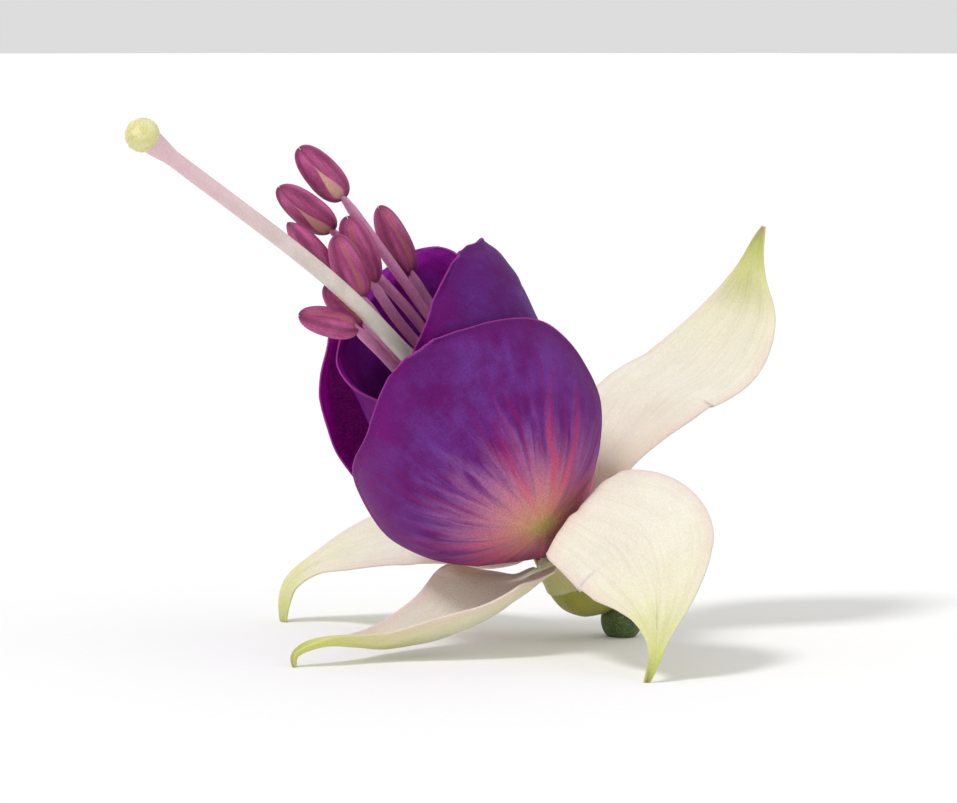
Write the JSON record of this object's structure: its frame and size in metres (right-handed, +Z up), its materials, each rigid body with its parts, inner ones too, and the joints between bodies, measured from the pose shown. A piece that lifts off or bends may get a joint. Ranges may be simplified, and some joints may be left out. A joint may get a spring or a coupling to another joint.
{
  "type": "fuchsia flower",
  "caption": "Single fuchsia bloom, picked: violet petals in a cup, spread white sepals, long stamens and style; it rests on its ovary and sepal tips.",
  "frame": {"origin": "on the surface the bloom rests on, below the middle of its bounding box", "axes": "+Z up; -Y is the bloom's front, which shows the broad front petal; the mouth of the corolla and the long style lean towards -X; the sepal on the far side of the bloom reaches towards +X"},
  "size_m": [0.0574, 0.041, 0.0481],
  "materials": {
    "ovary": "satin, dark green",
    "tube": "satin, olive green",
    "sepal": "matte, cream white with green tips",
    "petal": "velvety, violet with pink veins",
    "filament": "satin, rose pink",
    "anther": "matte, mauve",
    "style": "satin, pinkish white",
    "stigma": "matte, cream yellow"
  },
  "bodies": {
    "root": {"ovary": "ovary", "floral_tube": "tube", "sepal_front_right": "sepal", "sepal_back_right": "sepal", "sepal_front_left": "sepal", "sepal_back_left": "sepal", "petal_front": "petal", "petal_upper": "petal", "petal_back": "petal", "petal_left": "petal", "filament_1": "filament", "filament_2": "filament", "filament_3": "filament", "filament_4": "filament", "filament_5": "filament", "filament_6": "filament", "filament_7": "filament", "filament_8": "filament", "anther_1": "anther", "anther_2": "anther", "anther_3": "anther", "anther_4": "anther", "anther_5": "anther", "anther_6": "anther", "anther_7": "anther", "anther_8": "anther", "style": "style", "stigma": "stigma"}
  },
  "joints": []
}
